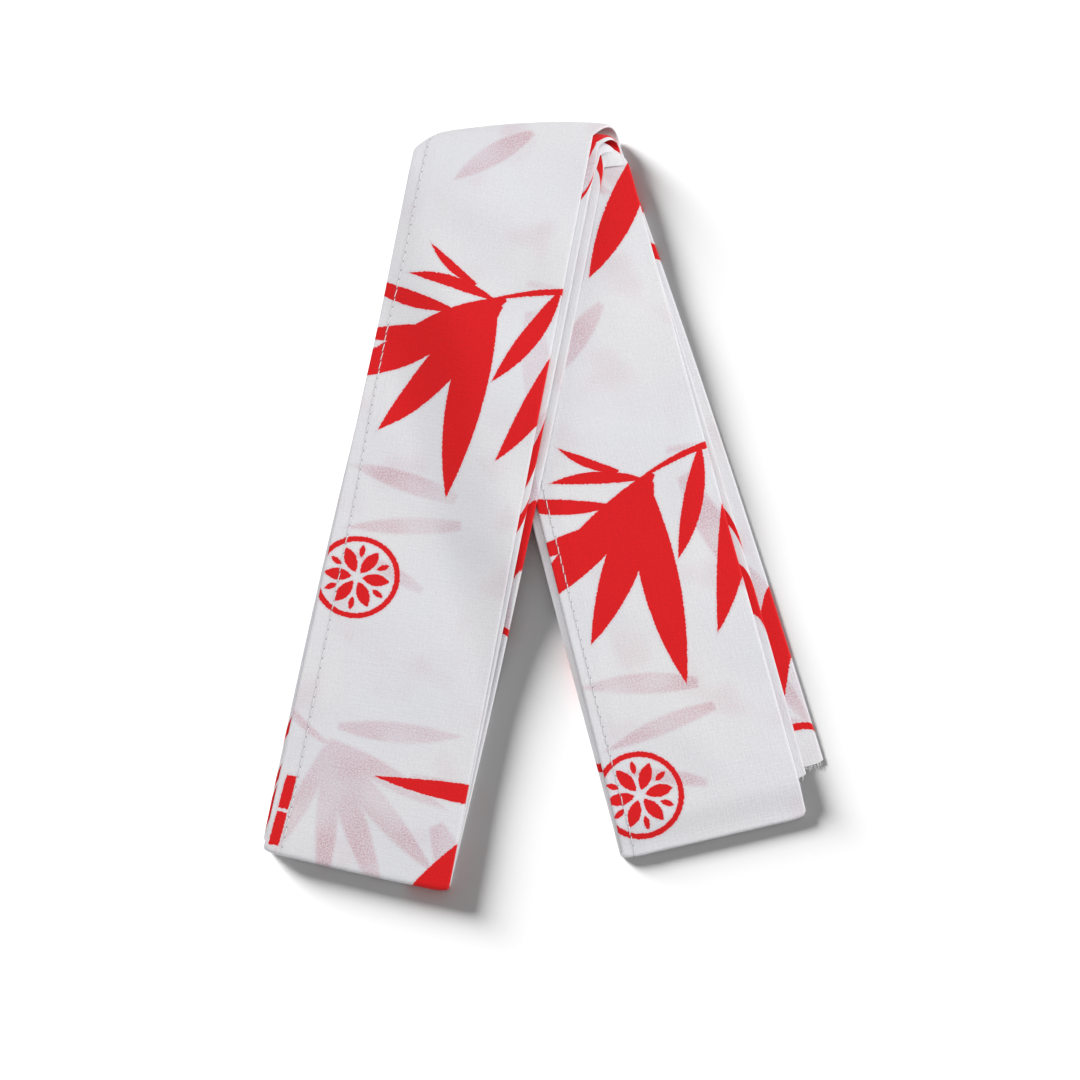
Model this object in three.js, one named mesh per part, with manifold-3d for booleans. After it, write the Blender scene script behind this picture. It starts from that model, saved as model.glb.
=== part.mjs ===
// Tie belt of a short yukata, folded into four runs and laid flat as an inverted V.
// Millimetres, +Z up, X to the right and Y away from the viewer. It rests on the plane Z = 0.
//
// The belt is one strip of cotton, folded lengthwise into two plies and stitched along one edge.
// Its length is folded in half twice and then laid over at a crease, so each arm has four layers.
// The two outer runs, a and b, are one wall. The two inner runs, c and d, share one solid that
// shows as two layers at its edges.

import * as THREE from 'three';
import { mergeVertices } from 'three/addons/utils/BufferGeometryUtils.js';
import Module from 'manifold-3d';

// Driving dimensions
const BELT_WIDTH = 55; // stitched edge to folded edge
const WALL = 1.0; // the two plies pressed together
const LAYER_GAP = 0.3; // air between two layers, and at the seam between the nodes
const LAYER_COUNT = 4; // layers in each arm
const EDGE_ROUND = 0.35; // how far a wall's faces stop short of its rounded edge
const CORE_MARGIN = 3; // depth of the groove between the two inner layers
const CUT_INSET_A = 15.7; // how far the two cut ends stop short of the fold beside them
const CUT_INSET_D = 12.5;
const INNER_LOOP_TUCK = 0.8; // how much further in the inner loop lies at the left end

// The three fold lines, each by the outermost point under its left corner and its slope in degrees.
// bow is how far the middle of the line stands out, cornerLeft and cornerRight how far its
// corners are rounded back.
const CREASE = { x: -38.7, y: 134.8, slope: 3.7, bow: 1.9, cornerLeft: 3.0, cornerRight: 0.8 };
const LEFT_END = { x: -79.7, y: -94.8, slope: -14.1, bow: 0.0, cornerLeft: 2.0, cornerRight: 1.2 };
const RIGHT_END = { x: 25.1, y: -99.2, slope: 13.2, bow: 0.0, cornerLeft: 1.2, cornerRight: 1.0 };
const CORNER_REACH = 4; // how far from the edge a corner starts to round

// The two arms. lean is the angle from the Y axis, and foot is where the stitched edge of the
// arm's top layer leaves the crease, measured along it. steps is the number of rows in its length.
const ARMS = {
  left: { lean: -10.2, foot: 0, fold: LEFT_END, steps: 14, lifted: true },
  right: { lean: 13.3, foot: 8.1, fold: RIGHT_END, steps: 6, lifted: false },
};

// The layers. level counts up from the surface. atCrease, atEnd and bow shift the stitched edge
// to the right of the arm's own line, at the crease, at the far end and in between. tuck is how
// much further in the layer turns at the crease, and turnInset is how far its axis lies inside
// the outline at the far end.
const LOOP_A = (WALL + LAYER_GAP) * 1.5;
const LOOP_C = (WALL + LAYER_GAP) * 0.5;
const OUTER_INSET = LOOP_A + WALL / 2;
const SMALL_INSET = LOOP_C + WALL / 2;
const INNER_INSET = OUTER_INSET + INNER_LOOP_TUCK;
const LAYERS = {
  aLeft: { arm: 'left', level: 3, atCrease: 0.0, atEnd: 0.0, bow: 0.0, tuck: 0.0, turnInset: OUTER_INSET },
  dLeft: { arm: 'left', level: 2, atCrease: 2.5, atEnd: 0.0, bow: 0.6, tuck: 1.1, turnInset: INNER_INSET },
  cLeft: { arm: 'left', level: 1, atCrease: 3.2, atEnd: -1.8, bow: -1.6, tuck: 2.4, turnInset: INNER_INSET },
  bLeft: { arm: 'left', level: 0, atCrease: 5.2, atEnd: 0.0, bow: 1.6, tuck: 3.7, turnInset: OUTER_INSET },
  bRight: { arm: 'right', level: 3, atCrease: 0.0, atEnd: 0.0, bow: 0.0, tuck: 3.7, turnInset: SMALL_INSET },
  cRight: { arm: 'right', level: 2, atCrease: -2.6, atEnd: -0.8, bow: -0.9, tuck: 2.4, turnInset: SMALL_INSET },
  dRight: { arm: 'right', level: 1, atCrease: -1.4, atEnd: 3.0, bow: 1.4, tuck: 1.1, turnInset: CUT_INSET_D },
  aRight: { arm: 'right', level: 0, atCrease: -0.5, atEnd: 9.3, bow: 1.2, tuck: 0.0, turnInset: CUT_INSET_A },
};

// The left arm lies on the right one. It is up at full height right of this line, and comes down
// to the surface over RAMP to the left of it.
const LIFT_LINE = { x: -43.0, y: 134.8, lean: 15.5 };
const RAMP = 26;

// Where the walls are sampled across the belt, from the arm's own line, between the two edges
const COLUMNS = [6, 16, 27, 38, 49, 54];
const TURN_STEPS = 8;

const COTTON = '#e6e5e6';

// Sizes that follow
const PITCH = WALL + LAYER_GAP;
const RISE = LAYER_COUNT * PITCH;
const CREASE_INSET = RISE - LAYER_GAP / 2; // from the outline at the crease to the axis of its turns
const UP = new THREE.Vector3(0, 0, 1);

// Plan geometry
const rad = THREE.MathUtils.degToRad;

function headingOf(lean) {
  return new THREE.Vector2(Math.sin(rad(lean)), -Math.cos(rad(lean)));
}

// A fold line as a point, a direction to the right, and the direction out of the belt.
function foldLine(fold, outward) {
  const along = new THREE.Vector2(Math.cos(rad(fold.slope)), Math.sin(rad(fold.slope)));
  const out = new THREE.Vector2(-along.y, along.x).multiplyScalar(outward);
  return { point: new THREE.Vector2(fold.x, fold.y), along, out, fold };
}

const creaseLine = foldLine(CREASE, 1);
for (const arm of Object.values(ARMS)) {
  arm.heading = headingOf(arm.lean);
  arm.across = new THREE.Vector2(-arm.heading.y, arm.heading.x);
  arm.origin = creaseLine.point.clone().addScaledVector(creaseLine.along, arm.foot);
  arm.endLine = foldLine(arm.fold, -1);
}

// The distance along the arm at which the line at s across it meets a fold line moved in by inset.
function reach(arm, s, line, inset) {
  const start = arm.origin.clone().addScaledVector(arm.across, s);
  const target = line.point.clone().addScaledVector(line.out, -inset);
  return target.sub(start).cross(line.along) / arm.heading.cross(line.along);
}

function smooth(x) {
  const t = THREE.MathUtils.clamp(x, 0, 1);
  return t * t * (3 - 2 * t);
}

// The height of the left arm over the surface at a point of the plan.
const liftNormal = new THREE.Vector2(Math.cos(rad(LIFT_LINE.lean)), Math.sin(rad(LIFT_LINE.lean)));
function lift(point) {
  const offset = point.clone().sub(new THREE.Vector2(LIFT_LINE.x, LIFT_LINE.y));
  return RISE * smooth(1 + offset.dot(liftNormal) / RAMP);
}

// How far a fold line stands out at s, with its bow and rounded corners, from the edge at left.
function foldShape(fold, s, left) {
  const v = THREE.MathUtils.clamp((s - left) / BELT_WIDTH, 0, 1);
  const fromLeft = Math.max(0, 1 - (s - left) / CORNER_REACH);
  const fromRight = Math.max(0, 1 - (left + BELT_WIDTH - s) / CORNER_REACH);
  const rounding = fold.cornerLeft * fromLeft ** 2 + fold.cornerRight * fromRight ** 2;
  return fold.bow * 4 * v * (1 - v) - rounding;
}

// One row of points across a layer, at f of the way from the crease to the far end. The left
// arm's layers share their inner columns, so that they stay parallel where they are lifted.
function layerRow(layer, f, extraInset = 0) {
  const arm = ARMS[layer.arm];
  const left = THREE.MathUtils.lerp(layer.atCrease, layer.atEnd, f) + layer.bow * Math.sin(Math.PI * f);
  const shift = arm.lifted ? 0 : left;
  const right = left + BELT_WIDTH;
  const places = [left, left + EDGE_ROUND, ...COLUMNS.map((s) => s + shift), right - EDGE_ROUND, right];
  const atCrease = f === 0;
  const atEnd = f === 1;
  return places.map((s) => {
    const creaseInset = CREASE_INSET + (atCrease ? layer.tuck : 0);
    const endInset = (atEnd || !arm.lifted ? layer.turnInset : OUTER_INSET) + extraInset;
    let start = reach(arm, s, creaseLine, creaseInset);
    let end = reach(arm, s, arm.endLine, endInset);
    if (atCrease) start -= foldShape(CREASE, s, left);
    if (atEnd) end += foldShape(arm.fold, s, left);
    const plan = arm.origin.clone().addScaledVector(arm.across, s);
    plan.addScaledVector(arm.heading, THREE.MathUtils.lerp(start, end, f));
    const height = WALL / 2 + layer.level * PITCH + (arm.lifted ? lift(plan) : 0);
    return new THREE.Vector3(plan.x, plan.y, height);
  });
}

// The rows of a layer in the order of travel, with the side that counts as its face.
function layerRows(layer, fromCrease, facing, extraInset) {
  const steps = ARMS[layer.arm].steps;
  const rows = [];
  for (let i = 0; i <= steps; i++) {
    const f = fromCrease ? i / steps : 1 - i / steps;
    const points = layerRow(layer, f, extraInset);
    rows.push({ points, normal: UP.clone().multiplyScalar(facing) });
  }
  return rows;
}

// The rows of a U-turn between the last row of one layer and the first row of the next.
function turnRows(from, to, line, facing) {
  const out = new THREE.Vector3(line.out.x, line.out.y, 0);
  const fall = Math.sign(from[0].z - to[0].z);
  const rows = [];
  for (let i = 1; i < TURN_STEPS; i++) {
    const angle = (Math.PI * i) / TURN_STEPS;
    const points = from.map((start, k) => {
      const radius = Math.abs(start.z - to[k].z) / 2;
      const point = start.clone().lerp(to[k], i / TURN_STEPS);
      point.z = (start.z + to[k].z) / 2 + fall * radius * Math.cos(angle);
      return point.addScaledVector(out, radius * Math.sin(angle));
    });
    const radial = out.clone().multiplyScalar(Math.sin(angle)).addScaledVector(UP, fall * Math.cos(angle));
    rows.push({ points, normal: radial.multiplyScalar(facing * fall) });
  }
  return rows;
}

// The rows of a whole run, which travels through its layers by way of the folds between them.
function runRows(layers, { towardCrease, facing, seam = 0, loopTo = null }) {
  const rows = [];
  let fromCrease = !towardCrease;
  let side = facing;
  layers.forEach((layer, i) => {
    const next = layerRows(layer, fromCrease, side, i === 0 ? seam : 0);
    if (rows.length) {
      const line = fromCrease ? creaseLine : ARMS[layer.arm].endLine;
      rows.push(...turnRows(rows.at(-1).points, next[0].points, line, -side));
    }
    rows.push(...next);
    fromCrease = !fromCrease;
    side = -side;
  });
  if (loopTo) {
    const line = ARMS[loopTo.arm].endLine;
    const target = layerRow(loopTo, 1);
    rows.push(...turnRows(rows.at(-1).points, target, line, -side));
    rows.push({ points: target, normal: UP.clone().multiplyScalar(side) });
  }
  return rows;
}

// Solids

// A closed solid from rows of outer points and inner points, with a single point at each edge.
// Every four-sided patch is split along its shorter diagonal, so that neighbouring layers match.
function closedSweep(rings) {
  const positions = [];
  const index = [];
  const size = rings[0].outer.length + rings[0].inner.length + 2;
  for (const { outer, inner, leftEdge, rightEdge } of rings) {
    const ring = [leftEdge, ...outer, rightEdge, ...inner.slice().reverse()];
    for (const p of ring) positions.push(p.x, p.y, p.z);
  }
  const corner = (i) => new THREE.Vector3().fromArray(positions, 3 * i);
  const distance = (i, j) => corner(i).distanceTo(corner(j));
  for (let r = 0; r + 1 < rings.length; r++) {
    for (let k = 0; k < size; k++) {
      const a = r * size + k;
      const b = r * size + ((k + 1) % size);
      if (distance(a, b + size) < distance(b, a + size)) {
        index.push(a, b, b + size, a, b + size, a + size);
      } else {
        index.push(a, b, a + size, b, b + size, a + size);
      }
    }
  }
  const cap = (first, flip) => {
    const triangle = (a, b, c) => index.push(...(flip ? [a, b, c] : [a, c, b]).map((k) => first + k));
    const half = size / 2;
    triangle(0, 1, size - 1);
    for (let k = 1; k < half - 1; k++) {
      triangle(k, k + 1, size - k);
      triangle(k + 1, size - k - 1, size - k);
    }
    triangle(half - 1, half, half + 1);
  };
  cap(0, false);
  cap((rings.length - 1) * size, true);
  return facingOut(positions, index);
}

// Turns every triangle round if the solid encloses a negative volume.
function facingOut(positions, index) {
  const corner = (i) => new THREE.Vector3().fromArray(positions, 3 * i);
  let volume = 0;
  for (let i = 0; i < index.length; i += 3) {
    volume += corner(index[i]).dot(corner(index[i + 1]).cross(corner(index[i + 2])));
  }
  const ordered = volume > 0 ? index : index.slice().reverse();
  const geometry = new THREE.BufferGeometry();
  geometry.setAttribute('position', new THREE.Float32BufferAttribute(positions, 3));
  geometry.setIndex(ordered);
  return geometry;
}

// The wall of cloth on a run: half its thickness to each side of the row.
function clothWall(rows) {
  const offset = (row, sign) =>
    row.points.slice(1, -1).map((p) => p.clone().addScaledVector(row.normal, (sign * WALL) / 2));
  return closedSweep(
    rows.map((row) => ({
      outer: offset(row, 1),
      inner: offset(row, -1),
      leftEdge: row.points[0],
      rightEdge: row.points.at(-1),
    })),
  );
}

// The filling between the two inner layers. It stops short of both edges, which leaves the groove.
function layerCore(dRows, cRows) {
  return closedSweep(
    dRows.map((dRow, r) => {
      const pick = (points) => {
        const inset = (edge, toward) => {
          const step = toward.clone().sub(edge);
          return edge.clone().addScaledVector(step, CORE_MARGIN / step.length());
        };
        const middle = points.slice(3, -3);
        return [inset(points[0], points[3]), ...middle, inset(points.at(-1), points.at(-4))];
      };
      const outer = pick(dRow.points);
      const inner = pick(cRows[r].points);
      const between = (p, q) => p.clone().add(q).multiplyScalar(0.5);
      return {
        outer: outer.slice(1, -1),
        inner: inner.slice(1, -1),
        leftEdge: between(outer[0], inner[0]),
        rightEdge: between(outer.at(-1), inner.at(-1)),
      };
    }),
  );
}

const wasm = await Module();
wasm.setup();

function toManifold(geometry) {
  const welded = mergeVertices(geometry);
  const mesh = new wasm.Mesh({
    numProp: 3,
    vertProperties: new Float32Array(welded.attributes.position.array),
    triVerts: new Uint32Array(welded.index.array),
  });
  return new wasm.Manifold(mesh);
}

function fromManifold(solid) {
  const mesh = solid.getMesh();
  const geometry = new THREE.BufferGeometry();
  geometry.setAttribute('position', new THREE.BufferAttribute(mesh.vertProperties, 3));
  geometry.setIndex(new THREE.BufferAttribute(mesh.triVerts, 1));
  return geometry;
}

// The two outer runs: from the cut end under the right arm, over the crease, along the top of
// the left arm, back under it, over the crease again and along the top of the right arm.
function outerRuns() {
  const { aRight, aLeft, bLeft, bRight, cRight } = LAYERS;
  const rows = runRows([aRight, aLeft, bLeft, bRight], { towardCrease: true, facing: -1, loopTo: cRight });
  return clothWall(rows);
}

// The two inner runs, which start at the seam beside the right arm's end loop.
function innerRuns() {
  const { cRight, cLeft, dLeft, dRight } = LAYERS;
  const start = { towardCrease: true, facing: -1, seam: LAYER_GAP };
  const wall = clothWall(runRows([cRight, cLeft, dLeft, dRight], start));
  const dRows = runRows([dRight, dLeft], { towardCrease: true, facing: -1 });
  const cCut = { ...cRight, turnInset: CUT_INSET_D };
  const cRows = runRows([cCut, cLeft], { towardCrease: true, facing: -1 });
  return fromManifold(toManifold(wall).add(toManifold(layerCore(dRows, cRows))));
}

// Assembly
function clothPiece(name, geometry) {
  const material = new THREE.MeshStandardMaterial({ color: COTTON, roughness: 0.85, metalness: 0 });
  const mesh = new THREE.Mesh(geometry, material);
  mesh.name = name;
  return mesh;
}

const belt = new THREE.Group();
belt.add(clothPiece('belt_outer_runs', outerRuns()));
belt.add(clothPiece('belt_inner_runs', innerRuns()));

// The origin is the centre of the box around the belt, on the surface that it lies on.
const box = new THREE.Box3().setFromObject(belt);
const middle = box.getCenter(new THREE.Vector3());
belt.position.set(-middle.x, -middle.y, 0);

export default belt;
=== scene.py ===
"""Tie belt of a short yukata, folded into four runs and laid flat as an inverted V.

The belt is one strip of white cotton with a red print of bamboo leaves. It is folded lengthwise
with its raw edges turned in, and one row of white stitches closes it. Each arm has four layers.
Sizes in this file are millimetres and degrees unless a name says otherwise. The scene is in metres.
"""

from math import ceil, cos, floor, hypot, pi, radians, sin

import bpy
import numpy as np
from bpy.props import FloatProperty, IntProperty, PointerProperty, StringProperty
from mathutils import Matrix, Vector


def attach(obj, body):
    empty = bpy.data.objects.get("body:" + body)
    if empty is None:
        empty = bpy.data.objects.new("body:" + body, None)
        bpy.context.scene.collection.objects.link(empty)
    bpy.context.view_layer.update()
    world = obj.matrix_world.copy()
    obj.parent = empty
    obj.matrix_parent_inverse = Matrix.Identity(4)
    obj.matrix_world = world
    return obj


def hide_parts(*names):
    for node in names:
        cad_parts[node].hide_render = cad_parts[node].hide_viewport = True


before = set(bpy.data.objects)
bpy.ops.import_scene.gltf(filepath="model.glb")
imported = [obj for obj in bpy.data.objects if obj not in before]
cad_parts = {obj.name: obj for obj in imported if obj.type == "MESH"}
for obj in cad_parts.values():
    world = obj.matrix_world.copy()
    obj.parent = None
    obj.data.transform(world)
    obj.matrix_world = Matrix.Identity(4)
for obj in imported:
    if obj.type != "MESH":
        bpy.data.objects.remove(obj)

bl_info = {
    "name": "Folded yukata tie belt",
    "version": (1, 0, 0),
    "blender": (4, 5, 0),
    "location": "View3D > Sidebar > Tie belt",
    "description": "A printed cotton tie belt, folded into four runs and laid flat",
    "category": "Object",
}

MM = 0.001
BODY = "root"

# The belt, finished
BELT_WIDTH = 55.0  # stitched edge to folded edge
ARM_LENGTH = 235.0  # about how long each arm is
LAYER_COUNT = 4
WALL = 1.0  # the room that one layer's plies take
LAYER_GAP = 0.3
PITCH = WALL + LAYER_GAP
RISE = LAYER_COUNT * PITCH  # how far the left arm is lifted where it lies on the right one
CREASE_TURN = RISE - LAYER_GAP / 2  # from the outline at the crease to the axis of its turns
OUTER_TURN = PITCH * 1.5 + WALL / 2  # from the outline at the left end to the axis of the turn
INNER_TURN = OUTER_TURN + 0.8
SMALL_TURN = PITCH * 0.5 + WALL / 2
CUT_INSET_A = 15.7  # how far the two cut ends stop short of the fold beside them
CUT_INSET_D = 12.5
CUT_CLEARANCE = 0.5  # from a cut end to where the layers over it start to come down
DROOP_REACH = 10.0  # the length over which they come down
CORNER_REACH = 5.0  # how far from an edge a fold's corner starts to round
FOLD_REACH = 16.0  # how far along an arm the shape of its fold fades out
FINE, COARSE = 1.5, 3.0  # how far apart the rows are on layers that show, and on hidden ones
TURN_STEPS = 12
CUT_PINCH = {"share": 0.62, "length": 8.0, "past_hem": 3.0}  # how a cut end is pressed flat

# The middle of the belt's outline, from the point on the surface at the centre of the picture
LAYING_POINT = np.array([1.39, 15.96])

# The three fold lines, each by the outermost point under its left corner and its slope. out is 1 for
# a fold that faces the crease's way. bow, left and right shape it, and roundness is 1 for a round
# turn and less for one that is pressed flat.
CREASE = dict(point=(-38.7, 134.8), slope=3.7, out=1, bow=1.9, left=3.0, right=0.8, roundness=1.0)
LEFT_END = dict(
    point=(-80.0, -96.3), slope=-12.6, out=-1, bow=0.3, left=0.9, right=1.2, roundness=0.6
)
RIGHT_END = dict(
    point=(25.1, -99.2), slope=13.2, out=-1, bow=0.0, left=1.2, right=1.0, roundness=1.0
)

# lean is the arm's angle from the Y axis, and foot is where its stitched edge leaves the crease
ARMS = {
    "left": {"lean": -10.2, "foot": 0.0, "end": LEFT_END, "lifted": True},
    "right": {"lean": 13.3, "foot": 8.1, "end": RIGHT_END, "lifted": False},
}

# The left arm comes down to the surface to the left of this line, over RAMP
LIFT_LINE = {"point": (-43.0, 134.8), "lean": 15.5}
RAMP = 26.0

# Each layer's arm, its level up from the surface, and how far its stitched edge is shifted to the
# right of the arm's own line at the crease and at the far end, and bowed between them. tuck is how
# much further in it turns at the crease, and corner how much its right corner is rounded there.
# turn is how far its axis lies inside the outline at the far end.
LAYER_COLUMNS = ("arm", "level", "crease", "end", "bow", "tuck", "corner", "turn")
LAYER_ROWS = {
    "a_left": ("left", 3, 0.0, 0.0, 0.0, 0.0, 0.8, OUTER_TURN - 1.0),
    "d_left": ("left", 2, 2.5, 0.0, 0.6, 2.4, 1.5, INNER_TURN + 0.4),
    "c_left": ("left", 1, 3.2, -1.0, -1.9, 3.7, 3.0, INNER_TURN + 0.8),
    "b_left": ("left", 0, 5.2, 0.0, 1.6, 4.4, 6.0, OUTER_TURN + 0.4),
    "b_right": ("right", 3, 0.0, 0.0, 0.0, 4.4, 6.0, SMALL_TURN + 0.8),
    "c_right": ("right", 2, -2.6, -0.8, -0.9, 3.7, 3.0, SMALL_TURN + 1.0),
    "d_right": ("right", 1, -1.4, 3.0, 1.4, 2.4, 1.5, CUT_INSET_D),
    "a_right": ("right", 0, -0.5, 9.3, 1.2, 0.0, 0.8, CUT_INSET_A),
}
LAYERS = {name: dict(zip(LAYER_COLUMNS, row)) for name, row in LAYER_ROWS.items()}

# The seam: its place across the belt at lengths v along the strip, how the stitches draw the cloth
# in beside it, and a stitch's points: how far along it, how far out of the ply, and how thick
SEAM = {
    "v": (-200, 0, 45, 70, 104, 120, 210, 260, 490, 596, 663, 720, 1600),
    "place": (3.6, 4.0, 3.9, 3.0, 3.7, 4.3, 5.4, 5.0, 3.4, 3.0, 2.9, 3.4, 3.8),
}
PUCKER = {"width": 2.6, "height": 0.11, "sink": 0.07}
STITCH_PLACES = np.array([0.05, 0.16, 0.5, 0.84, 0.95])
STITCH_RISES = np.array([-0.16, 0.04, 0.10, 0.04, -0.16])
STITCH_WIDTHS = np.array([0.7, 1.0, 1.0, 1.0, 0.7])
STITCH_SLANT = 0.3  # how far it crosses the seam from end to end

# The loose yarns at the cut ends: how deep they are rooted, their lengths, and how they bend
FRAY = {"root": 0.4, "shortest": 0.5, "mean": 0.8, "longest": 5.0}
FRAY_BEND = {"lean": 0.35, "curl": 0.5, "rise": 0.12}

# Waves over both arms, and the soft creases on the two upper faces, each by its middle in the
# arm's own directions (s from the stitched edge, d from the crease), its angle, length, width and
# height
SLOW_WAVE, QUICK_WAVE = 0.55, 0.35
WAVE_FADE = 12.0  # how near to a fold the waves fade out
WRINKLE_COLUMNS = ("s", "d", "angle", "length", "width", "height")
WRINKLE_ROWS = {
    "left": [
        (20, 24, 12, 44, 7.0, 0.55),
        (41, 46, -58, 34, 4.5, -0.40),
        (12, 100, 74, 52, 5.5, 0.45),
        (38, 128, 24, 38, 5.0, 0.50),
        (22, 152, -20, 30, 4.0, -0.35),
        (44, 176, -66, 46, 6.0, 0.45),
        (16, 196, 14, 34, 4.5, -0.35),
        (34, 220, 40, 40, 5.0, 0.50),
    ],
    "right": [
        (44, 62, -70, 46, 5.0, 0.80),
        (26, 104, 18, 34, 4.5, -0.60),
        (46, 138, -78, 60, 4.5, 0.70),
        (18, 168, 30, 36, 5.0, 0.75),
        (38, 196, -16, 38, 4.0, -0.60),
        (30, 214, 62, 34, 5.0, 0.70),
    ],
}

# The print, in the cloth's own directions: u across the cut from the stitched edge, over the upper
# face (0 to 55) and on round the folded edge (55 to 110), and v along it from the crease.
PRINT_REPEAT = 273.0
PRINT_START = 22.0  # a v that no leaf crosses
RIGHT_ARM_PRINT = {"u": 1.3, "v": 2 * PRINT_REPEAT - 74.2}  # the right arm's own start in it
INNER_SHIFT = 9.7  # how far slack in the inner runs moves their print on
SHIFT_LENGTH = 220.0  # the length of the run over which it does

# The leaves, set out freely in round numbers: the middle of a leaf's base, the way it points (0 is
# across the belt from the stitched edge, 90 is along it from the crease), its length, its width
# halfway, the width of its base, and how far its middle is bent to the left of the way it points.
LEAF_COLUMNS = ("u", "v", "angle", "length", "width", "base", "bend")
LEAF_ROWS = [
    # The spray on the upper face: its twig and the small leaves over it
    (66, 47, 166, 38, 2.0, 2.0, -2.0),
    (28, 50, 215, 20, 3.0, 1.0, 1.0),
    (34, 54, 190, 28, 4.0, 1.0, -1.2),
    (22, 60, 195, 34, 5.0, 1.5, 1.0),
    (20, 66, 170, 30, 5.0, 2.0, 0.5),
    (12, 74, 165, 20, 3.5, 1.0, 0.5),
    # its large leaves, and the ones that hang at the folded edge
    (38, 53, 145, 60, 11.5, 2.0, 1.0),
    (36, 55, 122, 55, 11.0, 4.0, 1.0),
    (34, 55, 92, 65, 11.5, 4.0, -1.0),
    (54, 49, 115, 36, 6.0, 1.5, 1.0),
    (63, 56, 110, 54, 9.0, 4.0, 2.0),
    # Leaves that stand alone lower down
    (72, 208, 180, 45, 5.5, 5.0, 0.5),
    (62, 219, 125, 48, 10.0, 4.0, 1.0),
    # The spray on the under face
    (112, 192, 150, 20, 2.0, 2.0, 1.0),
    (96, 195, 185, 36, 6.0, 1.5, 0.5),
    (98, 200, 160, 40, 6.0, 2.0, 0.5),
    (98, 201, 140, 50, 7.0, 3.0, 0.5),
    (97, 202, 120, 50, 7.0, 3.0, 0.5),
    (97, 203, 98, 45, 6.0, 3.0, -0.5),
    (98, 202, 75, 35, 5.0, 2.0, -0.5),
    # and the leaves above it
    (75, 120, 350, 35, 6.0, 3.0, 0.5),
    (72, 128, 10, 35, 5.0, 2.5, 0.5),
    (80, 150, 340, 25, 4.0, 2.0, 0.5),
    (74, 268, 45, 30, 7.0, 2.0, 0.5),
]

# Two joints of a stalk: outlines of arcs, clockwise, each side by the u and v of its start and how
# far it bulges out. A side's circle has to hold all the other corners.
JOINTS = [
    [(5.0, 212, 0.1), (4.5, 222, 0.02), (1.5, 222, 0.1), (2.0, 212, 0.02)],
    [(4.5, 223, 0.1), (4.0, 233, 0.02), (1.0, 233, 0.1), (1.5, 223, 0.02)],
]

# The roundel: a ring around a six-petalled flower, with a bud between each two petals. A petal and
# half a bud are outlines of arcs in a sector of 30 degrees, which is mirrored all round.
ROUNDEL = {
    "centre": (10.0, 149.0),
    "radius": 13.0,
    "ring": 1.7,
    "petal": [(1.6, 0.0, 1.9), (10.0, 0.0, 1.9)],
    "bud": [(5.4, 3.1, 0.9), (9.0, 5.2, 0.9)],
}


def mix(low, high, share):
    return low + (high - low) * share


def smooth(x):
    t = np.clip(x, 0.0, 1.0)
    return t * t * (3 - 2 * t)


def unit(angle):
    return np.array([cos(radians(angle)), sin(radians(angle))])


def cross(a, b):
    return a[..., 0] * b[..., 1] - a[..., 1] * b[..., 0]


# Plan of the belt as it lies


def arm_axes(arm):
    """The arm's start on the crease, the way along it, and the way across it."""
    heading = np.array([sin(radians(arm["lean"])), -cos(radians(arm["lean"]))])
    across = np.array([-heading[1], heading[0]])
    origin = np.array(CREASE["point"]) + unit(CREASE["slope"]) * arm["foot"]
    return origin, heading, across


def outward(line):
    """The direction in the plan that leaves the belt at a fold line."""
    along = unit(line["slope"])
    return np.array([-along[1], along[0]]) * line["out"]


def reach(arm, s, line, inset):
    """How far along the arm the line at s across it meets a fold line moved in by inset."""
    origin, heading, across = arm_axes(arm)
    start = origin + s[..., None] * across
    target = np.array(line["point"]) - outward(line) * inset
    along = unit(line["slope"])
    return cross(target - start, along) / cross(heading, along)


def fold_shape(line, place, corner):
    """How far a fold stands out at a place across the belt, with its bow and rounded corners."""
    v = np.clip(place / BELT_WIDTH, 0, 1)
    from_left = np.clip(1 - place / CORNER_REACH, 0, 1)
    from_right = np.clip(1 - (BELT_WIDTH - place) / CORNER_REACH, 0, 1)
    rounding = line["left"] * (1 - np.sqrt(1 - from_left**2))
    rounding = rounding + corner * (1 - np.sqrt(1 - from_right**2))
    return line["bow"] * 4 * v * (1 - v) - rounding


def lift(plan):
    """The height of the left arm over the surface."""
    offset = (plan - np.array(LIFT_LINE["point"])) @ unit(LIFT_LINE["lean"])
    return RISE * smooth(1 + offset / RAMP)


def relief(name, s, d):
    """How far an arm's upper face stands over or under its flat form: waves and soft creases."""
    slow = np.sin(d / 13.0 + 0.05 * s) * np.sin(s / 17.0 + 0.6)
    quick = np.sin(d / 7.4 - s / 11.0 + 1.3)
    height = SLOW_WAVE * slow + QUICK_WAVE * quick
    for row in WRINKLE_ROWS[name]:
        wrinkle = dict(zip(WRINKLE_COLUMNS, row))
        along = unit(wrinkle["angle"])
        ds, dd = s - wrinkle["s"], d - wrinkle["d"]
        length = (ds * along[0] + dd * along[1]) / (wrinkle["length"] / 2)
        width = (dd * along[0] - ds * along[1]) / wrinkle["width"]
        height = height + wrinkle["height"] * np.exp(-width * width) * smooth(1.2 - abs(length))
    return height


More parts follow.
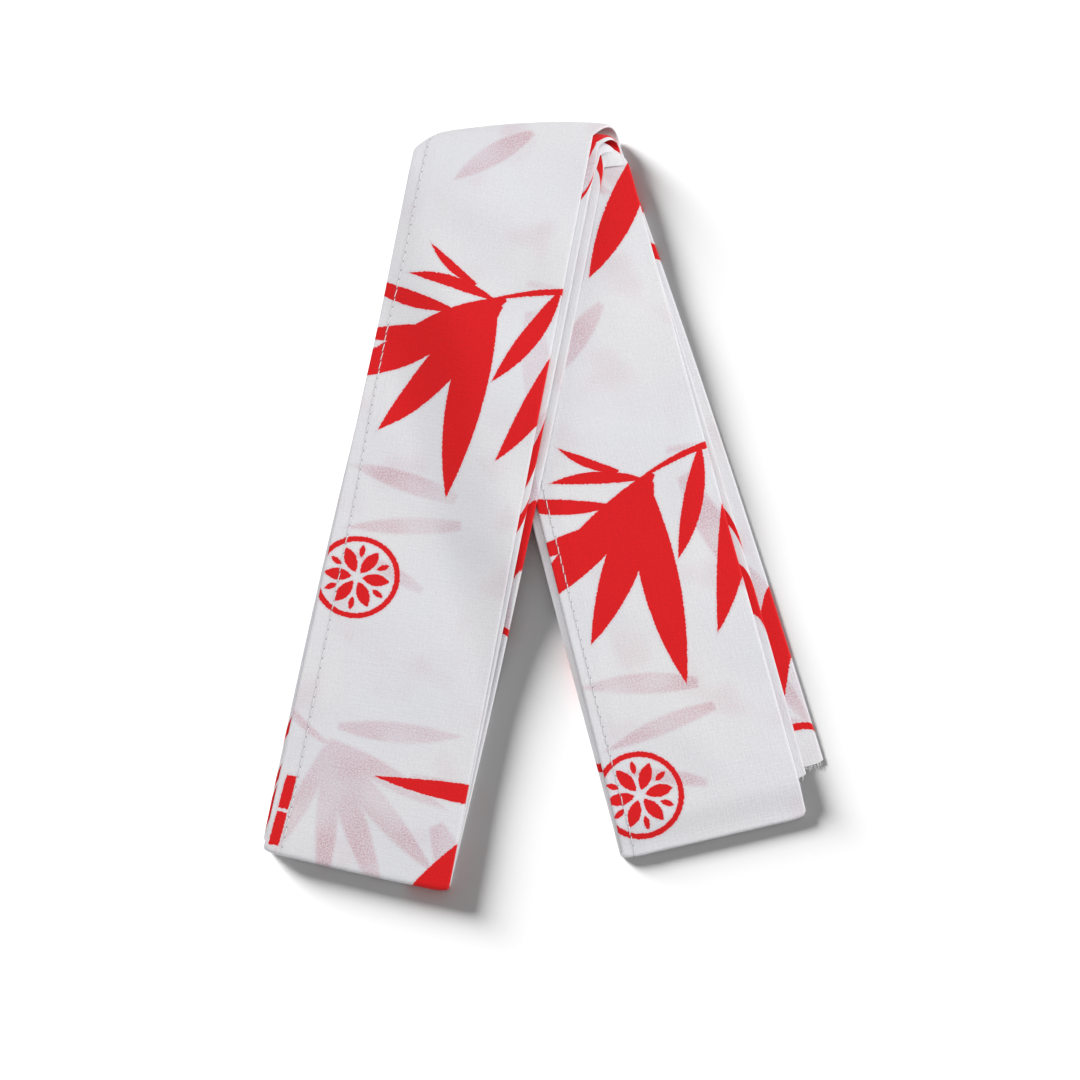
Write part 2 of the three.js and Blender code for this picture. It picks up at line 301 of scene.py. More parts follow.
def layer_grid(layer, shares, places):
    """Points (row, column) of a layer's middle, and how far along the arm each one is.

    shares run from 0 at the crease to 1 at the far end, and places across the belt."""
    arm = ARMS[layer["arm"]]
    f = shares[:, None]
    place = places[None, :] + 0 * f
    left = mix(layer["crease"], layer["end"], f) + layer["bow"] * np.sin(pi * f)
    s = left + place
    far_turn = OUTER_TURN if arm["lifted"] else layer["turn"]
    start = reach(arm, s, CREASE, CREASE_TURN)
    end = reach(arm, s, arm["end"], far_turn)
    along = mix(start, end, f)
    near_crease = smooth(1 - (along - start) / FOLD_REACH)
    near_end = smooth(1 - (end - along) / FOLD_REACH)
    d = along
    d = d + (reach(arm, s, CREASE, CREASE_TURN + layer["tuck"]) - start) * near_crease
    d = d - fold_shape(CREASE, place, layer["corner"]) * near_crease
    d = d + (reach(arm, s, arm["end"], layer["turn"]) - end) * near_end
    d = d + fold_shape(arm["end"], place, arm["end"]["right"]) * near_end
    origin, heading, across = arm_axes(arm)
    plan = origin + s[..., None] * across + d[..., None] * heading
    raised = lift(plan) if arm["lifted"] else 0 * s
    levels = 2 * LAYER_COUNT - 1
    share_of_relief = (layer["level"] + LAYER_COUNT * raised / RISE) / levels
    edges = smooth((along - start) / WAVE_FADE) * smooth((end - along) / WAVE_FADE)
    wave = relief(layer["arm"], s, d) * share_of_relief * edges
    z = WALL / 2 + layer["level"] * PITCH + raised + wave
    if not arm["lifted"] and layer["level"] > 1:
        # Past the two cut ends, the layers that lay on them come down to the surface
        past_cut = CUT_INSET_D - (reach(arm, s, arm["end"], 0.0) - d)
        z = z - 2 * PITCH * smooth((past_cut - CUT_CLEARANCE) / DROOP_REACH)
    return np.dstack([plan, z]), d


def turn_rows(start, finish, line, side):
    """The rows of a U-turn between two layers, with the direction that the face looks.

    A turn that moves sideways does so near its top."""
    out = np.append(outward(line), 0.0)
    fall = np.sign(start[0, 2] - finish[0, 2])
    radius = abs(start[:, 2] - finish[:, 2]) / 2
    # Only a wide turn is pressed flat
    power = line["roundness"] if radius[0] > WALL else 1.0
    rows, faces = [], []
    for i in range(1, TURN_STEPS):
        t = i / TURN_STEPS
        across, down = sin(pi * t), cos(pi * t)
        row = mix(start, finish, 1 - (1 - t) ** 2 if fall > 0 else t**2)
        drop = np.sign(down) * abs(down) ** power
        row[:, 2] = (start[:, 2] + finish[:, 2]) / 2 + fall * radius * drop
        rows.append(row + out * (radius * across**power)[:, None])
        level = np.sign(down) * abs(down) ** (2 - power)
        radial = out * across ** (2 - power) + np.array([0, 0, fall * level])
        faces.append(radial / np.linalg.norm(radial) * side * fall)
    return rows, faces


def cross_section(settings):
    """The cut, folded lengthwise: place across the belt, height in the layer, and u across the cut.

    It starts at the raw edge turned in under the upper face and ends at the other raw edge."""
    half = BELT_WIDTH
    outer, inner = settings.face_height, settings.allowance_height
    hem = settings.allowance
    turn = (outer - inner) / 2
    hem_sink, fold_swell = 0.10, 0.03
    near = [0.4, 0.9, 1.5, 2.2, 3.0, 3.8, 4.8, 5.8, 7.0, 8.2, 9.4, 11.0]
    wide = list(np.linspace(13.5, half - 4.5, 16))
    far = [half - 3.0, half - 2.0, half - 1.3, half - 0.8]
    place, height, across = [], [], []

    def point(s, n, u):
        place.append(s)
        height.append(n)
        across.append(u)

    for s in (hem, hem * 0.7, hem * 0.4, 1.4, 0.5):
        point(s, inner, -s)
    for angle in (45, 90, 135):
        out, down = sin(radians(angle)), cos(radians(angle))
        point(0.5 - 0.5 * out, mix(inner, outer, 0.5) - turn * down, 0.0)
    for s in near + wide + far:
        # The face sinks where the turned-in allowance ends, and swells again beyond it
        sink = hem_sink * smooth((s - hem + 1.0) / 2.4) * (1 - 0.75 * smooth((s - hem) / 30))
        point(s, outer - sink, s)
    ridge = outer + fold_swell
    for angle in (60, 30, 0):
        out, up = cos(radians(angle)), sin(radians(angle))
        point(half - 0.6 + 0.6 * out, ridge * up, half - 0.3 * angle / 60)
    count = len(place)
    for i in range(count - 2, -1, -1):
        point(place[i], -height[i], 2 * half - across[i])
    return np.array(place), np.array(height), np.array(across)


def belt_run(names, places, spacing, seam=0.0, loop_to=None):
    """One run of the belt through its layers, as rows of points with the side that is its face.

    It starts at an arm's far end, face down."""
    rows, faces, spans = [], [], {}
    from_crease, side = False, -1
    for i, name in enumerate(names):
        layer = LAYERS[name]
        if i == 0 and seam:
            layer = {**layer, "turn": layer["turn"] + seam}
        count = int(round(ARM_LENGTH / spacing[name]))
        shares = np.linspace(0, 1, count + 1)
        grid, along = layer_grid(layer, shares, places)
        if not from_crease:
            grid, along = grid[::-1], along[::-1]
        if rows:
            line = CREASE if from_crease else ARMS[layer["arm"]]["end"]
            turn, turn_faces = turn_rows(rows[-1], grid[0], line, -side)
            rows += turn
            faces += turn_faces
        spans[name] = (len(rows), len(rows) + count, along)
        rows += list(grid)
        faces += [np.array([0, 0, float(side)])] * (count + 1)
        from_crease = not from_crease
        side = -side
    if loop_to:
        target, _ = layer_grid(LAYERS[loop_to], np.array([1.0]), places)
        line = ARMS[LAYERS[loop_to]["arm"]]["end"]
        turn, turn_faces = turn_rows(rows[-1], target[0], line, -side)
        rows += turn + [target[0]]
        faces += turn_faces + [np.array([0, 0, float(side)])]
    return np.array(rows), np.array(faces), spans


def travelled(rows):
    """The length along each column, from the first row."""
    steps = np.linalg.norm(np.diff(rows, axis=0), axis=2)
    return np.vstack([np.zeros(rows.shape[1]), np.cumsum(steps, axis=0)])


def outer_run(places):
    """Rows of the outer runs a and b, where each point is in the print, and how far from the cut."""
    names = ("a_right", "a_left", "b_left", "b_right")
    spacing = {"a_right": COARSE, "a_left": FINE, "b_left": COARSE, "b_right": FINE}
    rows, faces, spans = belt_run(names, places, spacing, loop_to="c_right")
    length = travelled(rows)
    first, _, along = spans["a_left"]
    v_left = length - length[first] + along[0]
    first, _, along = spans["b_right"]
    v_right = length - length[first] + along[0] + RIGHT_ARM_PRINT["v"]
    start, stop, _ = spans["b_left"]
    share = np.clip((np.arange(len(rows)) - start) / (stop - start), 0, 1)[:, None]
    u_shift = share * RIGHT_ARM_PRINT["u"] + 0 * v_left
    return rows, faces, mix(v_left, v_right, share), u_shift, length


def inner_run(places):
    """Rows of the hidden runs c and d. Their print goes on from the end of the outer run."""
    names = ("c_right", "c_left", "d_left", "d_right")
    spacing = dict.fromkeys(names, COARSE)
    rows, faces, _ = belt_run(names, places, spacing, seam=LAYER_GAP)
    length = travelled(rows)
    v = length + outer_run(places)[2][-1] + INNER_SHIFT * smooth(length / SHIFT_LENGTH)
    return rows, faces, v, RIGHT_ARM_PRINT["u"] + 0 * v, length[-1] - length


def seam_place(v):
    return np.interp(v, SEAM["v"], SEAM["place"])


def puckers(place, v):
    """How far the cloth is drawn in and out along the seam, where the stitches pull it."""
    near_seam = np.exp(-(((place - seam_place(v)) / PUCKER["width"]) ** 2))
    uneven = np.sin(v / 3.1 + 1.7 * np.sin(v / 17.0)) * np.sin(v / 9.7 + 0.8)
    return (PUCKER["height"] * uneven - PUCKER["sink"]) * near_seam


def to_scene(points):
    """Millimetres from the middle of the picture to metres in the part's frame."""
    moved = np.array(points, float)
    moved[..., :2] -= LAYING_POINT
    return moved * MM


def new_object(name, verts, faces):
    mesh = bpy.data.meshes.new(name)
    mesh.from_pydata([tuple(p) for p in verts], [], faces)
    mesh.validate()
    piece = bpy.data.objects.new(name, mesh)
    bpy.context.scene.collection.objects.link(piece)
    return piece


def select_only(piece):
    bpy.ops.object.select_all(action="DESELECT")
    piece.select_set(True)
    bpy.context.view_layer.objects.active = piece


def apply_modifiers(piece):
    select_only(piece)
    for modifier in list(piece.modifiers):
        bpy.ops.object.modifier_apply(modifier=modifier.name)


def cloth_form(run, settings):
    """The middle of the strip's ply along a run, as a grid of points, with where they are in it."""
    place, height, across = cross_section(settings)
    rows, faces, v, u_shift, from_cut = run(place)
    place = place[None, :] + 0 * v
    # The two plies lie closer at a cut end, where nothing is turned in between them
    closed = smooth(1 - from_cut / CUT_PINCH["length"])
    closed = closed * smooth((place - settings.allowance) / CUT_PINCH["past_hem"])
    offset = height * (1 - CUT_PINCH["share"] * closed) + np.sign(height) * puckers(place, v)
    points = rows + faces[:, None, :] * offset[..., None]
    points[..., 2] = np.maximum(points[..., 2], settings.ply / 2)
    return {
        "points": points,
        "faces": faces,
        "place": place,
        "across": across,
        "u": across[None, :] + u_shift,
        "v": v,
        "from_cut": from_cut,
    }


def add_map(piece, name, u, v):
    """A UV map in metres from grids of u and v in millimetres."""
    index = np.zeros(len(piece.data.loops), int)
    piece.data.loops.foreach_get("vertex_index", index)
    values = np.dstack([u, v]).reshape(-1, 2) * MM
    layer = piece.data.uv_layers.new(name=name)
    layer.data.foreach_set("uv", values[index].astype(np.float32).ravel())


def cloth_sheet(name, form, settings):
    """The strip along a run, with its maps for the print and for the seam."""
    count, width = form["v"].shape
    quads = []
    for r in range(count - 1):
        for k in range(width - 1):
            a = r * width + k
            quads.append((a, a + width, a + width + 1, a + 1))
    piece = new_object(name, to_scene(form["points"]).reshape(-1, 3), quads)
    add_map(piece, "print", form["u"], form["v"])
    add_map(piece, "seam", form["place"] - seam_place(form["v"]), form["v"])
    thick = piece.modifiers.new("ply", "SOLIDIFY")
    thick.thickness = settings.ply * MM
    thick.offset = 0
    thick.use_rim = True
    apply_modifiers(piece)
    select_only(piece)
    bpy.ops.object.shade_smooth_by_angle(angle=radians(50))
    return piece


def tube(path, radii, out, sides=6):
    """Points and faces of a thread along a path, with closed ends."""
    verts, faces = [], []
    for i, centre in enumerate(path):
        way = path[min(i + 1, len(path) - 1)] - path[max(i - 1, 0)]
        beside = np.cross(way, out)
        beside = beside / np.linalg.norm(beside)
        above = np.cross(beside, way)
        above = above / np.linalg.norm(above)
        for k in range(sides):
            angle = 2 * pi * k / sides
            verts.append(centre + radii[i] * (cos(angle) * beside + sin(angle) * above))
    for i in range(len(path) - 1):
        for k in range(sides):
            a, b = i * sides + k, i * sides + (k + 1) % sides
            faces.append((a, b, b + sides, a + sides))
    faces.append(tuple(range(sides))[::-1])
    faces.append(tuple(range(len(verts) - sides, len(verts))))
    return verts, faces


def threads_object(name, tubes):
    """One object from many threads, given in millimetres."""
    verts, faces = [], []
    for points, polygons in tubes:
        faces += [tuple(i + len(verts) for i in polygon) for polygon in polygons]
        verts += points
    piece = new_object(name, to_scene(np.array(verts)), faces)
    select_only(piece)
    bpy.ops.object.shade_smooth()
    return piece


def face_columns(form, side):
    """The columns of one face of the strip, in order across it."""
    low, high = (0.3, BELT_WIDTH - 0.5) if side > 0 else (BELT_WIDTH + 0.5, 2 * BELT_WIDTH - 0.3)
    columns = np.flatnonzero((form["across"] > low) & (form["across"] < high))
    return columns[np.argsort(form["place"][0, columns])]


def seam_line(form, side):
    """Where the seam runs on one face: v, the point and the way out of the cloth, row by row."""
    columns = face_columns(form, side)
    spots = form["place"][0, columns]
    lengths, points = [], []
    for r in range(len(form["v"])):
        target = seam_place(form["v"][r, columns[3]])
        lengths.append(np.interp(target, spots, form["v"][r, columns]))
        points.append([np.interp(target, spots, form["points"][r, columns, i]) for i in range(3)])
    return np.array(lengths), np.array(points), form["faces"] * side


def stitches(form, settings):
    """The lock-stitches of a run on both its faces, each from one needle hole to the next."""
    radius = settings.thread / 2
    rises = STITCH_RISES + settings.ply / 2
    slants = (STITCH_PLACES - 0.5) * STITCH_SLANT
    made = []
    for side in (1, -1):
        lengths, points, outs = seam_line(form, side)
        first = ceil((lengths[0] + 1) / settings.stitch)
        last = floor((lengths[-1] - 1) / settings.stitch)
        for k in range(first, last):
            at = (k + STITCH_PLACES) * settings.stitch
            path = np.column_stack([np.interp(at, lengths, points[:, i]) for i in range(3)])
            out = np.column_stack([np.interp(at, lengths, outs[:, i]) for i in range(3)])
            beside = np.cross(path[-1] - path[0], out[2])
            beside = beside / np.linalg.norm(beside)
            path = path + out * rises[:, None] + beside * slants[:, None]
            path[:, 2] = np.maximum(path[:, 2], radius)
            made.append(tube(path, radius * STITCH_WIDTHS, out[2]))
    return made


def frays(form, settings, at_start, rng):
    """Loose yarn ends along the cut end of a run, on both of its plies."""
    edge, next_row = (0, 1) if at_start else (-1, -2)
    radius = settings.yarn / 2
    made = []
    for side in (1, -1):
        columns = face_columns(form, side)
        spots = form["place"][0, columns]
        line = form["points"][edge, columns]
        way = line - form["points"][next_row, columns]
        heading = way.mean(axis=0) / np.linalg.norm(way.mean(axis=0))
        beside = np.cross(heading, (0, 0, 1.0))
        for _ in range(settings.fray_count):
            spot = rng.uniform(0.6, BELT_WIDTH - 0.6)
            start = np.array([np.interp(spot, spots, line[:, i]) for i in range(3)])
            length = min(FRAY["shortest"] + rng.exponential(FRAY["mean"]), FRAY["longest"])
            lean, curl = rng.normal(0, FRAY_BEND["lean"]), rng.normal(0, FRAY_BEND["curl"])
            path = []
            for t in (-FRAY["root"], 0.2, 0.5, 0.8, 1.0):
                along = length * t
                aside = lean * along + curl * length * max(t, 0) ** 2
                point = start + heading * along + beside * aside
                point[2] += rng.normal(0, FRAY_BEND["rise"]) * max(t, 0) * length
                point[2] = max(point[2], radius)
                path.append(point)
            made.append(tube(np.array(path), radius * np.array([1, 1, 0.9, 0.8, 0.5]), (0, 0, 1.0), 5))
    return made


# Materials

SMOOTH = {"interpolation_type": "SMOOTHSTEP"}
COLOURS = {"data_type": "RGBA"}
THREAD_SPACING = 0.42  # a third more than real threads, so that they show


def linear(colour):
    """A hex sRGB colour as the linear values that the sockets take."""
    channels = [int(colour[i : i + 2], 16) / 255 for i in (1, 3, 5)]
    curve = [c / 12.92 if c <= 0.04045 else ((c + 0.055) / 1.055) ** 2.4 for c in channels]
    return (*curve, 1.0)


def add(tree, kind, inputs=None, **settings):
    """Adds a node, with its settings, and with its inputs set or linked by number or name.

    kind is the node's type, and a shader node's goes without its ShaderNode prefix."""
    node = tree.nodes.new(kind if kind.startswith("Node") else "ShaderNode" + kind)
    for key, value in settings.items():
        setattr(node, key, value)
    for key, value in (inputs or {}).items():
        if isinstance(value, bpy.types.Node):
            value = value.outputs[0]
        if isinstance(value, bpy.types.NodeSocket):
            tree.links.new(value, node.inputs[key])
        else:
            node.inputs[key].default_value = value
    return node


def new_material(name):
    material = bpy.data.materials.new(name)
    material.use_nodes = True
    material.node_tree.nodes.clear()
    return material


def arc_side(tree, point, start, end, bulge):
    """How far a point is inside the arc from start to end, which bulges out to the left."""
    length = hypot(end[0] - start[0], end[1] - start[1])
    way = ((end[0] - start[0]) / length, (end[1] - start[1]) / length)
    normal = (way[1], -way[0])
    radius = (length * length / 4 + bulge * bulge) / (2 * abs(bulge))
    sign = 1 if bulge > 0 else -1
    from_chord = bulge - sign * radius
    centre = [(start[i] + end[i]) / 2 + normal[i] * from_chord for i in (0, 1)]
    away = add(tree, "VectorMath", {0: point, 1: (*centre, 0)}, operation="DISTANCE")
    inputs = {0: away.outputs["Value"], 1: -sign, 2: sign * radius}
    return add(tree, "Math", inputs, operation="MULTIPLY_ADD")


def leaf_corners(u, v, angle, length, width, base, bend):
    """A leaf's outline of arcs: down one side to the tip, back up the other, and over the base."""
    way, beside = unit(angle), unit(angle - 90) * base / 2
    bulge = (2 * width - base) / 4
    tip = (u + way[0] * length, v + way[1] * length, bulge - bend)
    first = (u + beside[0], v + beside[1], bulge + bend)
    last = (u - beside[0], v - beside[1], base * base / length / 8)
    return [first, tip, last]


def arc_shape(tree, point, corners):
    """How far a point is inside an outline of arcs."""
    depth = None
    for i, (u, v, bulge) in enumerate(corners):
        following = corners[(i + 1) % len(corners)]
        side = arc_side(tree, point, (u, v), following[:2], bulge)
        if depth:
            side = add(tree, "Math", {0: depth, 1: side}, operation="MINIMUM")
        depth = side
    return depth


def roundel_shape(tree, point):
    """How far a point is inside the red of the roundel: its ring, petals and buds."""
    centre = (*ROUNDEL["centre"], 0)
    local = add(tree, "VectorMath", {0: point, 1: centre}, operation="SUBTRACT")
    away = add(tree, "VectorMath", {0: local}, operation="LENGTH").outputs["Value"]
    disc = add(tree, "Math", {0: ROUNDEL["radius"], 1: away}, operation="SUBTRACT")
    axes = add(tree, "SeparateXYZ", {0: local})
    angle = add(tree, "Math", {0: axes.outputs[1], 1: axes.outputs[0]}, operation="ARCTAN2")
    folded = add(tree, "Math", {0: angle, 1: pi / 6}, operation="PINGPONG")
    x = add(tree, "Math", {0: folded}, operation="COSINE")
    y = add(tree, "Math", {0: folded}, operation="SINE")
    x = add(tree, "Math", {0: x, 1: away}, operation="MULTIPLY")
    y = add(tree, "Math", {0: y, 1: away}, operation="MULTIPLY")
    wedge = add(tree, "CombineXYZ", {0: x, 1: y})
    hollow = ROUNDEL["ring"] - ROUNDEL["radius"]
    inner = add(tree, "Math", {0: away, 1: hollow}, operation="ADD")
    shape = add(tree, "Math", {0: disc, 1: inner}, operation="MINIMUM")
    for part in ("petal", "bud"):
        depth = arc_shape(tree, wedge, ROUNDEL[part])
        shape = add(tree, "Math", {0: shape, 1: depth}, operation="MAXIMUM")
    return shape


def leaf_print_group():
    """A node group: from a point of the cloth in millimetres to how far it is inside the print."""
    group = bpy.data.node_groups.new("bamboo_leaf_print", "ShaderNodeTree")
    group.interface.new_socket("Point", in_out="INPUT", socket_type="NodeSocketVector")
    group.interface.new_socket("Depth", in_out="OUTPUT", socket_type="NodeSocketFloat")
    point = add(group, "NodeGroupInput").outputs["Point"]
    axes = add(group, "SeparateXYZ", {0: point})
    limits = {0: axes.outputs[1], 1: PRINT_START + PRINT_REPEAT, 2: PRINT_START}
    wrapped = add(group, "Math", limits, operation="WRAP")
    point = add(group, "CombineXYZ", {0: axes.outputs[0], 1: wrapped})
    depth = roundel_shape(group, point)
    outlines = JOINTS + [leaf_corners(**dict(zip(LEAF_COLUMNS, row))) for row in LEAF_ROWS]
    for outline in outlines:
        shape = arc_shape(group, point, outline)
        depth = add(group, "Math", {0: depth, 1: shape}, operation="MAXIMUM")
    add(group, "NodeGroupOutput", {0: depth})
    return group


def cloth_threads(tree, cloth):
    """The heights of the weave and of its slubs, and the grain of its fibres."""
    threads = {"Vector": cloth, "Scale": 1 / THREAD_SPACING / 2, "Distortion": 0.6, "Detail": 1.0}
    weft = add(tree, "TexWave", threads, bands_direction="X").outputs["Fac"]
    warp = add(tree, "TexWave", threads, bands_direction="Y").outputs["Fac"]
    weave = add(tree, "Math", {0: weft, 1: warp}, operation="MAXIMUM")
    slubs = []
    for stretch in ((1.8, 0.16, 1.0), (0.14, 1.7, 1.0)):
        stretched = add(tree, "Mapping", {"Vector": cloth, "Scale": stretch})
        slub = add(tree, "TexNoise", {"Vector": stretched, "Scale": 1.0, "Detail": 2.0})
        slubs.append(slub.outputs["Fac"])
    slub = add(tree, "Math", dict(enumerate(slubs)), operation="ADD")
    grain = {"Vector": cloth, "Scale": 1.5, "Detail": 3.0, "Roughness": 0.75}
    return weave, slub, add(tree, "TexNoise", grain)


def ink_depth(tree, cloth, group):
    """How far a point is inside the print. The ink's edge wanders by about a thread's width."""
    bleed = add(tree, "TexNoise", {"Vector": cloth, "Scale": 1.3, "Detail": 2.0})
    centred = {0: bleed.outputs["Color"], 1: (0.5, 0.5, 0.5)}
    centred = add(tree, "VectorMath", centred, operation="SUBTRACT")
    wander = {0: centred, 1: (0.7, 0.7, 0.0), 2: cloth}
    wander = add(tree, "VectorMath", wander, operation="MULTIPLY_ADD")
    return add(tree, "Group", {"Point": wander}, node_tree=group)


def pink_share(tree, cloth, group, depth, looks):
    """How pink the white cloth is: the print of the ply below, loose dye, and the ink's faint rim."""
    # The ply below has the same print, seen from behind at the mirrored place across the cut
    mirror = {0: cloth, 1: (-1.0, 1.0, 1.0), 2: (2 * BELT_WIDTH, 0.0, 0.0)}
    mirror = add(tree, "VectorMath", mirror, operation="MULTIPLY_ADD")
    below = add(tree, "Group", {"Point": mirror}, node_tree=group)
    ghost = add(tree, "MapRange", {"Value": below, "From Min": -0.9, "From Max": 0.7}, **SMOOTH)
    touch = add(tree, "TexNoise", {"Vector": cloth, "Scale": 0.05, "Detail": 1.5})
    near = {"Value": touch, "From Min": 0.36, "From Max": 0.66, "To Min": 0.45, "To Max": 1.1}
    near = add(tree, "MapRange", near)
    ghost = add(tree, "Math", {0: ghost, 1: near}, operation="MULTIPLY")
    # Loose dye has left wide, faint blotches
    blotch = {"Value": touch, "From Min": 0.50, "From Max": 0.78, "To Max": 0.42}
    blotch = add(tree, "MapRange", blotch, **SMOOTH)
    pink = add(tree, "Math", {0: ghost, 1: blotch}, operation="MAXIMUM")
    rim = {"Value": depth, "From Min": -1.0, "From Max": 0.1, "To Max": 0.5}
    rim = add(tree, "MapRange", rim, **SMOOTH)
    pink = add(tree, "Math", {0: pink, 1: rim}, operation="MAXIMUM")
    # It shows between the threads, so it looks grainy
    specks = {"Vector": cloth, "Scale": 2.4, "Detail": 1.0, "Roughness": 0.6}
    specks = add(tree, "TexNoise", specks)
    specks = {"Value": specks, "From Min": 0.36, "From Max": 0.64, "To Min": 0.30, "To Max": 1.7}
    specks = add(tree, "MapRange", specks)
    pink = add(tree, "Math", {0: pink, 1: specks}, operation="MULTIPLY")
    pink = {0: pink, 1: looks.show_through}
    return add(tree, "Math", pink, operation="MULTIPLY", use_clamp=True)


def seam_painted_shade(tree, looks, stitch):
    """Painted shade along the seam: how dark the needle holes are, one for each stitch, and the groove
    that the stitches pull in.
    """
    seam = add(tree, "UVMap", uv_map="seam")
    seam = add(tree, "VectorMath", {0: seam, "Scale": 1 / MM}, operation="SCALE")
    seam = add(tree, "SeparateXYZ", {0: seam})
    along = add(tree, "Math", {0: seam.outputs[1], 1: stitch / 2}, operation="ADD")
    along = add(tree, "Math", {0: along, 1: stitch, 2: 0.0}, operation="WRAP")
    along = add(tree, "Math", {0: along, 1: stitch / 2}, operation="SUBTRACT")
    hole = add(tree, "CombineXYZ", {0: seam.outputs[0], 1: along})
    hole = add(tree, "VectorMath", {0: hole}, operation="LENGTH").outputs["Value"]
    # The needle holes are painted shade: the cloth is darkened where a hole would lie in shadow
    hole = {"Value": hole, "From Min": 0.12, "From Max": 0.42, "To Min": looks.hole, "To Max": 0.0}
    hole = add(tree, "MapRange", hole, **SMOOTH)
    # The groove along the seam is painted shade as well: the cloth is darkened along the seam line
    groove = add(tree, "Math", {0: seam.outputs[0]}, operation="ABSOLUTE")
    groove = {"Value": groove, "From Max": 0.9, "To Min": looks.groove, "To Max": 0.0}
    groove = add(tree, "MapRange", groove, **SMOOTH)
    return add(tree, "Math", {0: hole, 1: groove}, operation="MAXIMUM")


def printed_cotton(looks, stitch):
    """Plain-woven cotton, bleached and screen printed in red.

    To the eye it is matt and slightly uneven: fine threads with thicker slubs, a print whose edge
    bleeds along the threads, and the print of the ply below, which shows between the threads."""
    material = new_material("bleached_printed_cotton")
    tree = material.node_tree
    uv = add(tree, "UVMap", uv_map="print")
    cloth = add(tree, "VectorMath", {0: uv, "Scale": 1 / MM}, operation="SCALE")
    group = leaf_print_group()
    weave, slub, grain = cloth_threads(tree, cloth)
    depth = ink_depth(tree, cloth, group)
    ink = add(tree, "MapRange", {"Value": depth, "From Min": -0.10, "From Max": 0.12}, **SMOOTH)

    shade = add(tree, "MapRange", {"Value": grain, "From Min": 0.25, "From Max": 0.75})
    tone = add(tree, "TexNoise", {"Vector": cloth, "Scale": 0.021, "Detail": 2.0})
    tone = add(tree, "MapRange", {"Value": tone, "From Min": 0.35, "From Max": 0.65})
    light = {0: tone, 6: linear(looks.cotton_cool), 7: linear(looks.cotton_warm)}
    light = add(tree, "Mix", light, **COLOURS).outputs[2]
    cotton = {0: shade, 6: linear(looks.cotton_shade), 7: light}
    colour = add(tree, "Mix", cotton, **COLOURS).outputs[2]
    red = {0: shade, 6: linear(looks.red_shade), 7: linear(looks.red)}
    red = add(tree, "Mix", red, **COLOURS).outputs[2]
    tints = [
        (pink_share(tree, cloth, group, depth, looks), linear(looks.pink)),
        (ink, red),
        # painted shade in the needle holes and along the seam's groove, not a colour of the cloth
        (seam_painted_shade(tree, looks, stitch), linear(looks.hole_shade)),
    ]
    for share, tint in tints:
        colour = add(tree, "Mix", {0: share, 6: colour, 7: tint}, **COLOURS).outputs[2]

    fine = add(tree, "Bump", {"Height": weave, "Strength": 0.30, "Distance": 0.00008})
    uneven = {"Height": slub, "Strength": 0.45, "Distance": 0.00020, "Normal": fine}
    uneven = add(tree, "Bump", uneven)
    finish = {
        "Base Color": colour,
        "Roughness": 0.88,
        "IOR": 1.5,
        "Specular IOR Level": 0.25,
        "Sheen Weight": 0.12,
        "Sheen Roughness": 0.5,
        "Normal": uneven,
    }
    shader = add(tree, "BsdfPrincipled", finish)
    add(tree, "OutputMaterial", {"Surface": shader})
    return material


def spun_thread(looks):
    """Spun white cotton thread, plied: matt, with a twist that catches the light."""
    material = new_material("spun_cotton_thread")
    tree = material.node_tree
    place = add(tree, "TexCoord").outputs["Object"]
    twist = {"Vector": place, "Scale": 1 / 0.0004, "Distortion": 1.0}
    twist = add(tree, "TexWave", twist, bands_direction="DIAGONAL").outputs["Fac"]
    colour = {0: twist, 6: linear(looks.thread_shade), 7: linear(looks.thread)}
    colour = add(tree, "Mix", colour, **COLOURS).outputs[2]
    bump = add(tree, "Bump", {"Height": twist, "Strength": 0.4, "Distance": 0.00004})
    finish = {"Base Color": colour, "Roughness": 0.7, "Sheen Weight": 0.1, "Normal": bump}
    shader = add(tree, "BsdfPrincipled", finish)
    add(tree, "OutputMaterial", {"Surface": shader})
    return material


def matt_board(stage):
    """Matt white studio board: even and without gloss, so that it only takes the shadow."""
    material = new_material("matt_studio_board")
    tree = material.node_tree
    place = add(tree, "TexCoord").outputs["Object"]
    grain = add(tree, "TexNoise", {"Vector": place, "Scale": 900.0})
    colour = {0: grain, 6: linear(stage.floor_shade), 7: linear(stage.floor)}
    colour = add(tree, "Mix", colour, **COLOURS).outputs[2]
    finish = {"Base Color": colour, "Roughness": 1.0, "Specular IOR Level": 0.0}
    shader = add(tree, "BsdfPrincipled", finish)
    add(tree, "OutputMaterial", {"Surface": shader})
    return material


def cotton_material(context):
    """The belt's cotton, made once."""
    found = bpy.data.materials.get("bleached_printed_cotton")
    return found or printed_cotton(context.scene.belt_looks, context.scene.belt_cloth.stitch)


def thread_material(context):
    """The thread of the seam and of the frayed ends, made once."""
    return bpy.data.materials.get("spun_cotton_thread") or spun_thread(context.scene.belt_looks)


def finish_piece(piece, material):
    piece.data.materials.append(material)
    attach(piece, BODY)


# Properties


def size_property(name, description, default, low=0.01):
    return FloatProperty(name=name, description=f"{description}, mm", default=default, min=low)


